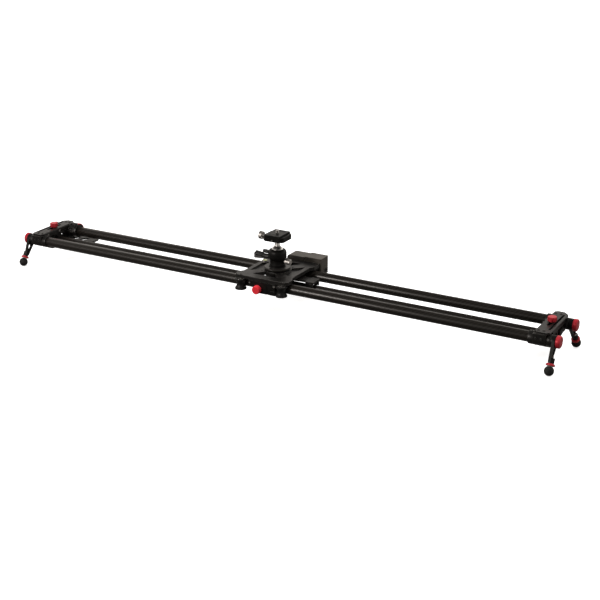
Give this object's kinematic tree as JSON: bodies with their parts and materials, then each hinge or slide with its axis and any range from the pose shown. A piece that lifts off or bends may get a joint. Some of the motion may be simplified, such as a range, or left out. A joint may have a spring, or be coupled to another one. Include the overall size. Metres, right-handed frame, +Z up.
{
  "type": "camera slider",
  "caption": "Long camera slider: carbon tube rails on folding legs, motor-driven carriage with a turntable and ball head, red clamp knobs.",
  "frame": {"origin": "on the ground, under the middle of the whole object's box", "axes": "+X along the rails to the right, +Y to the back where the motor housing is, +Z up"},
  "size_m": [1.2, 0.1794, 0.152],
  "materials": {
    "carbon_tube": "satin woven carbon fibre",
    "black_anodised": "bead-blasted black anodised",
    "black_case": "fine matt powder coat",
    "red_anodised": "satin red anodised",
    "steel": "turned",
    "nickel": "knurled, nickel plated",
    "chrome": "polished",
    "black_plastic": "moulded, slightly grained",
    "roller_nylon": "turned nylon",
    "rubber": "matt",
    "red_rubber": "matt"
  },
  "bodies": {
    "frame": {"front_rail_tube": "carbon_tube", "back_rail_tube": "carbon_tube", "left_end_plate": "black_anodised", "right_end_plate": "black_anodised", "rail_collars": "black_anodised", "leg_hubs": "black_anodised", "left_tripod_bracket": "black_anodised", "right_tripod_bracket": "black_anodised", "end_plate_screws": "steel", "stop_collar": "black_anodised", "stop_buffer": "red_rubber"},
    "guide_rod": {"guide_rod": "carbon_tube", "rod_carriers": "black_anodised"},
    "left_rod_knob": {"left_rod_knob": "red_anodised"},
    "right_rod_knob": {"right_rod_knob": "red_anodised"},
    "carriage": {"carriage_plate": "black_anodised", "roller_axles": "steel", "brake_housing": "black_anodised", "motor_housing": "black_case", "control_housing": "black_case", "gear_motor": "steel", "power_inlet": "black_plastic", "spirit_level": "nickel"},
    "brake_knob": {"brake_knob": "red_anodised"},
    "brake_pad": {"brake_pad": "rubber"},
    "drive_wheel": {"drive_wheel": "rubber"},
    "turntable": {"turntable": "black_anodised", "swing_arm": "black_anodised", "head_base": "black_anodised"},
    "head_body": {"head_body": "black_anodised"},
    "ball": {"ball": "chrome"},
    "neck": {"neck": "chrome", "clamp_body": "black_anodised"},
    "lock_knob": {"lock_knob": "black_plastic"},
    "tension_knob": {"tension_knob": "black_plastic"},
    "pan_knob": {"pan_knob": "nickel"},
    "clamp_knob": {"clamp_knob": "nickel"},
    "clamp_jaw": {"clamp_jaw": "black_anodised"},
    "quick_release_plate": {"quick_release_plate": "black_anodised"},
    "camera_screw": {"camera_screw": "steel"},
    "front_left_leg": {"front_left_leg": "black_anodised"},
    "front_left_knob": {"front_left_knob": "red_anodised"},
    "front_left_foot": {"front_left_foot": "rubber"},
    "front_left_lock_ring": {"front_left_lock_ring": "red_anodised"},
    "front_left_roller": {"front_left_roller": "roller_nylon"},
    "front_right_leg": {"front_right_leg": "black_anodised"},
    "front_right_knob": {"front_right_knob": "red_anodised"},
    "front_right_foot": {"front_right_foot": "rubber"},
    "front_right_lock_ring": {"front_right_lock_ring": "red_anodised"},
    "front_right_roller": {"front_right_roller": "roller_nylon"},
    "back_left_leg": {"back_left_leg": "black_anodised"},
    "back_left_knob": {"back_left_knob": "red_anodised"},
    "back_left_foot": {"back_left_foot": "rubber"},
    "back_left_lock_ring": {"back_left_lock_ring": "red_anodised"},
    "back_left_roller": {"back_left_roller": "roller_nylon"},
    "back_right_leg": {"back_right_leg": "black_anodised"},
    "back_right_knob": {"back_right_knob": "red_anodised"},
    "back_right_foot": {"back_right_foot": "rubber"},
    "back_right_lock_ring": {"back_right_lock_ring": "red_anodised"},
    "back_right_roller": {"back_right_roller": "roller_nylon"}
  },
  "joints": [
    {"name": "carriage_slide", "type": "slide", "parent": "frame", "child": "carriage", "axis": [1, 0, 0], "range_m": [-0.469, 0.455]},
    {"name": "front_left_roller_spin", "type": "hinge", "parent": "carriage", "child": "front_left_roller", "pos_m": [-0.046, -0.07068, 0.0542], "axis": [0, 0, 1], "continuous": true},
    {"name": "front_right_roller_spin", "type": "hinge", "parent": "carriage", "child": "front_right_roller", "pos_m": [0.046, -0.07068, 0.0542], "axis": [0, 0, 1], "continuous": true},
    {"name": "back_left_roller_spin", "type": "hinge", "parent": "carriage", "child": "back_left_roller", "pos_m": [-0.046, 0.05732, 0.0542], "axis": [0, 0, 1], "continuous": true},
    {"name": "back_right_roller_spin", "type": "hinge", "parent": "carriage", "child": "back_right_roller", "pos_m": [0.046, 0.05732, 0.0542], "axis": [0, 0, 1], "continuous": true},
    {"name": "drive_wheel_spin", "type": "hinge", "parent": "carriage", "child": "drive_wheel", "pos_m": [0.002, 0.06157, 0.0542], "axis": [0, 0, 1], "continuous": true},
    {"name": "brake_knob_turn", "type": "hinge", "parent": "carriage", "child": "brake_knob", "pos_m": [-0.005, -0.07668, 0.0507], "axis": [0, 1, 0], "range_deg": [0, 180]},
    {"name": "brake_pad_press", "type": "slide", "parent": "carriage", "child": "brake_pad", "axis": [0, 1, 0], "range_m": [0, 0.00025]},
    {"name": "guide_rod_offset", "type": "slide", "parent": "frame", "child": "guide_rod", "axis": [0, 1, 0], "range_m": [-0.015, 0.015]},
    {"name": "turntable_swing", "type": "hinge", "parent": "carriage", "child": "turntable", "pos_m": [0, -0.00668, 0.073], "axis": [0, 0, 1], "range_deg": [-11.2, 11.2]},
    {"name": "left_rod_knob_turn", "type": "hinge", "parent": "guide_rod", "child": "left_rod_knob", "pos_m": [-0.565, -0.00368, 0.0742], "axis": [0, 0, 1], "range_deg": [0, 270]},
    {"name": "right_rod_knob_turn", "type": "hinge", "parent": "guide_rod", "child": "right_rod_knob", "pos_m": [0.565, -0.00368, 0.0742], "axis": [0, 0, 1], "range_deg": [0, 270]},
    {"name": "front_left_leg_fold", "type": "hinge", "parent": "frame", "child": "front_left_leg", "pos_m": [-0.587, -0.05248, 0.0542], "axis": [-1, 0, 0], "range_deg": [-32, 57]},
    {"name": "front_left_knob_turn", "type": "hinge", "parent": "frame", "child": "front_left_knob", "pos_m": [-0.596, -0.05248, 0.0542], "axis": [1, 0, 0], "range_deg": [0, 180]},
    {"name": "front_left_foot_adjust", "type": "slide", "parent": "front_left_leg", "child": "front_left_foot", "axis": [0, -0.5299, -0.848], "range_m": [0, 0.006]},
    {"name": "front_left_lock_ring_turn", "type": "hinge", "parent": "front_left_leg", "child": "front_left_lock_ring", "pos_m": [-0.5905, -0.07367, 0.02028], "axis": [0, -0.5299, -0.848], "range_deg": [0, 180]},
    {"name": "front_right_leg_fold", "type": "hinge", "parent": "frame", "child": "front_right_leg", "pos_m": [0.587, -0.05248, 0.0542], "axis": [-1, 0, 0], "range_deg": [-32, 57]},
    {"name": "front_right_knob_turn", "type": "hinge", "parent": "frame", "child": "front_right_knob", "pos_m": [0.596, -0.05248, 0.0542], "axis": [1, 0, 0], "range_deg": [0, 180]},
    {"name": "front_right_foot_adjust", "type": "slide", "parent": "front_right_leg", "child": "front_right_foot", "axis": [0, -0.5299, -0.848], "range_m": [0, 0.006]},
    {"name": "front_right_lock_ring_turn", "type": "hinge", "parent": "front_right_leg", "child": "front_right_lock_ring", "pos_m": [0.5905, -0.07367, 0.02028], "axis": [0, -0.5299, -0.848], "range_deg": [0, 180]},
    {"name": "back_left_leg_fold", "type": "hinge", "parent": "frame", "child": "back_left_leg", "pos_m": [-0.587, 0.03912, 0.0542], "axis": [1, 0, 0], "range_deg": [-32, 57]},
    {"name": "back_left_knob_turn", "type": "hinge", "parent": "frame", "child": "back_left_knob", "pos_m": [-0.596, 0.03912, 0.0542], "axis": [1, 0, 0], "range_deg": [0, 180]},
    {"name": "back_left_foot_adjust", "type": "slide", "parent": "back_left_leg", "child": "back_left_foot", "axis": [0, 0.5299, -0.848], "range_m": [0, 0.006]},
    {"name": "back_left_lock_ring_turn", "type": "hinge", "parent": "back_left_leg", "child": "back_left_lock_ring", "pos_m": [-0.5905, 0.06032, 0.02028], "axis": [0, 0.5299, -0.848], "range_deg": [0, 180]},
    {"name": "back_right_leg_fold", "type": "hinge", "parent": "frame", "child": "back_right_leg", "pos_m": [0.587, 0.03912, 0.0542], "axis": [1, 0, 0], "range_deg": [-32, 57]},
    {"name": "back_right_knob_turn", "type": "hinge", "parent": "frame", "child": "back_right_knob", "pos_m": [0.596, 0.03912, 0.0542], "axis": [1, 0, 0], "range_deg": [0, 180]},
    {"name": "back_right_foot_adjust", "type": "slide", "parent": "back_right_leg", "child": "back_right_foot", "axis": [0, 0.5299, -0.848], "range_m": [0, 0.006]},
    {"name": "back_right_lock_ring_turn", "type": "hinge", "parent": "back_right_leg", "child": "back_right_lock_ring", "pos_m": [0.5905, 0.06032, 0.02028], "axis": [0, 0.5299, -0.848], "range_deg": [0, 180]},
    {"name": "head_pan", "type": "hinge", "parent": "turntable", "child": "head_body", "pos_m": [0, -0.00668, 0.0803], "axis": [0, 0, 1], "continuous": true},
    {"name": "ball_roll", "type": "hinge", "parent": "head_body", "child": "ball", "pos_m": [0, -0.00668, 0.1086], "axis": [0, 1, 0], "range_deg": [-25, 25]},
    {"name": "ball_drop", "type": "hinge", "parent": "ball", "child": "neck", "pos_m": [0, -0.00668, 0.1086], "axis": [-1, 0, 0], "range_deg": [-25, 90]},
    {"name": "lock_knob_turn", "type": "hinge", "parent": "head_body", "child": "lock_knob", "pos_m": [-0.03, -0.00668, 0.0953], "axis": [1, 0, 0], "range_deg": [0, 120]},
    {"name": "tension_knob_turn", "type": "hinge", "parent": "head_body", "child": "tension_knob", "pos_m": [-0.025, -0.00668, 0.1053], "axis": [1, 0, 0], "range_deg": [0, 270]},
    {"name": "pan_knob_turn", "type": "hinge", "parent": "head_body", "child": "pan_knob", "pos_m": [0.025, -0.00668, 0.0909], "axis": [1, 0, 0], "range_deg": [0, 270]},
    {"name": "clamp_knob_turn", "type": "hinge", "parent": "neck", "child": "clamp_knob", "pos_m": [-0.03, -0.00668, 0.137], "axis": [1, 0, 0], "range_deg": [0, 1080]},
    {"name": "clamp_jaw_open", "type": "slide", "parent": "neck", "child": "clamp_jaw", "axis": [-1, 0, 0], "range_m": [0, 0.0024]},
    {"name": "quick_release_slide", "type": "slide", "parent": "neck", "child": "quick_release_plate", "axis": [0, 1, 0], "range_m": [-0.012, 0.012]},
    {"name": "camera_screw_spin", "type": "hinge", "parent": "quick_release_plate", "child": "camera_screw", "pos_m": [0, -0.00668, 0.147], "axis": [0, 0, 1], "continuous": true}
  ],
  "couplings": [
    {"joint": "front_left_roller_spin", "follows": "carriage_slide", "rad_per_m": 126.58},
    {"joint": "front_right_roller_spin", "follows": "carriage_slide", "rad_per_m": 126.58},
    {"joint": "back_left_roller_spin", "follows": "carriage_slide", "rad_per_m": -126.58},
    {"joint": "back_right_roller_spin", "follows": "carriage_slide", "rad_per_m": -126.58},
    {"joint": "drive_wheel_spin", "follows": "carriage_slide", "rad_per_m": -82.305},
    {"joint": "brake_knob_turn", "follows": "brake_pad_press", "rad_per_m": 12566},
    {"joint": "turntable_swing", "follows": "guide_rod_offset", "rad_per_m": 12.82},
    {"joint": "clamp_knob_turn", "follows": "clamp_jaw_open", "rad_per_m": 7854}
  ]
}
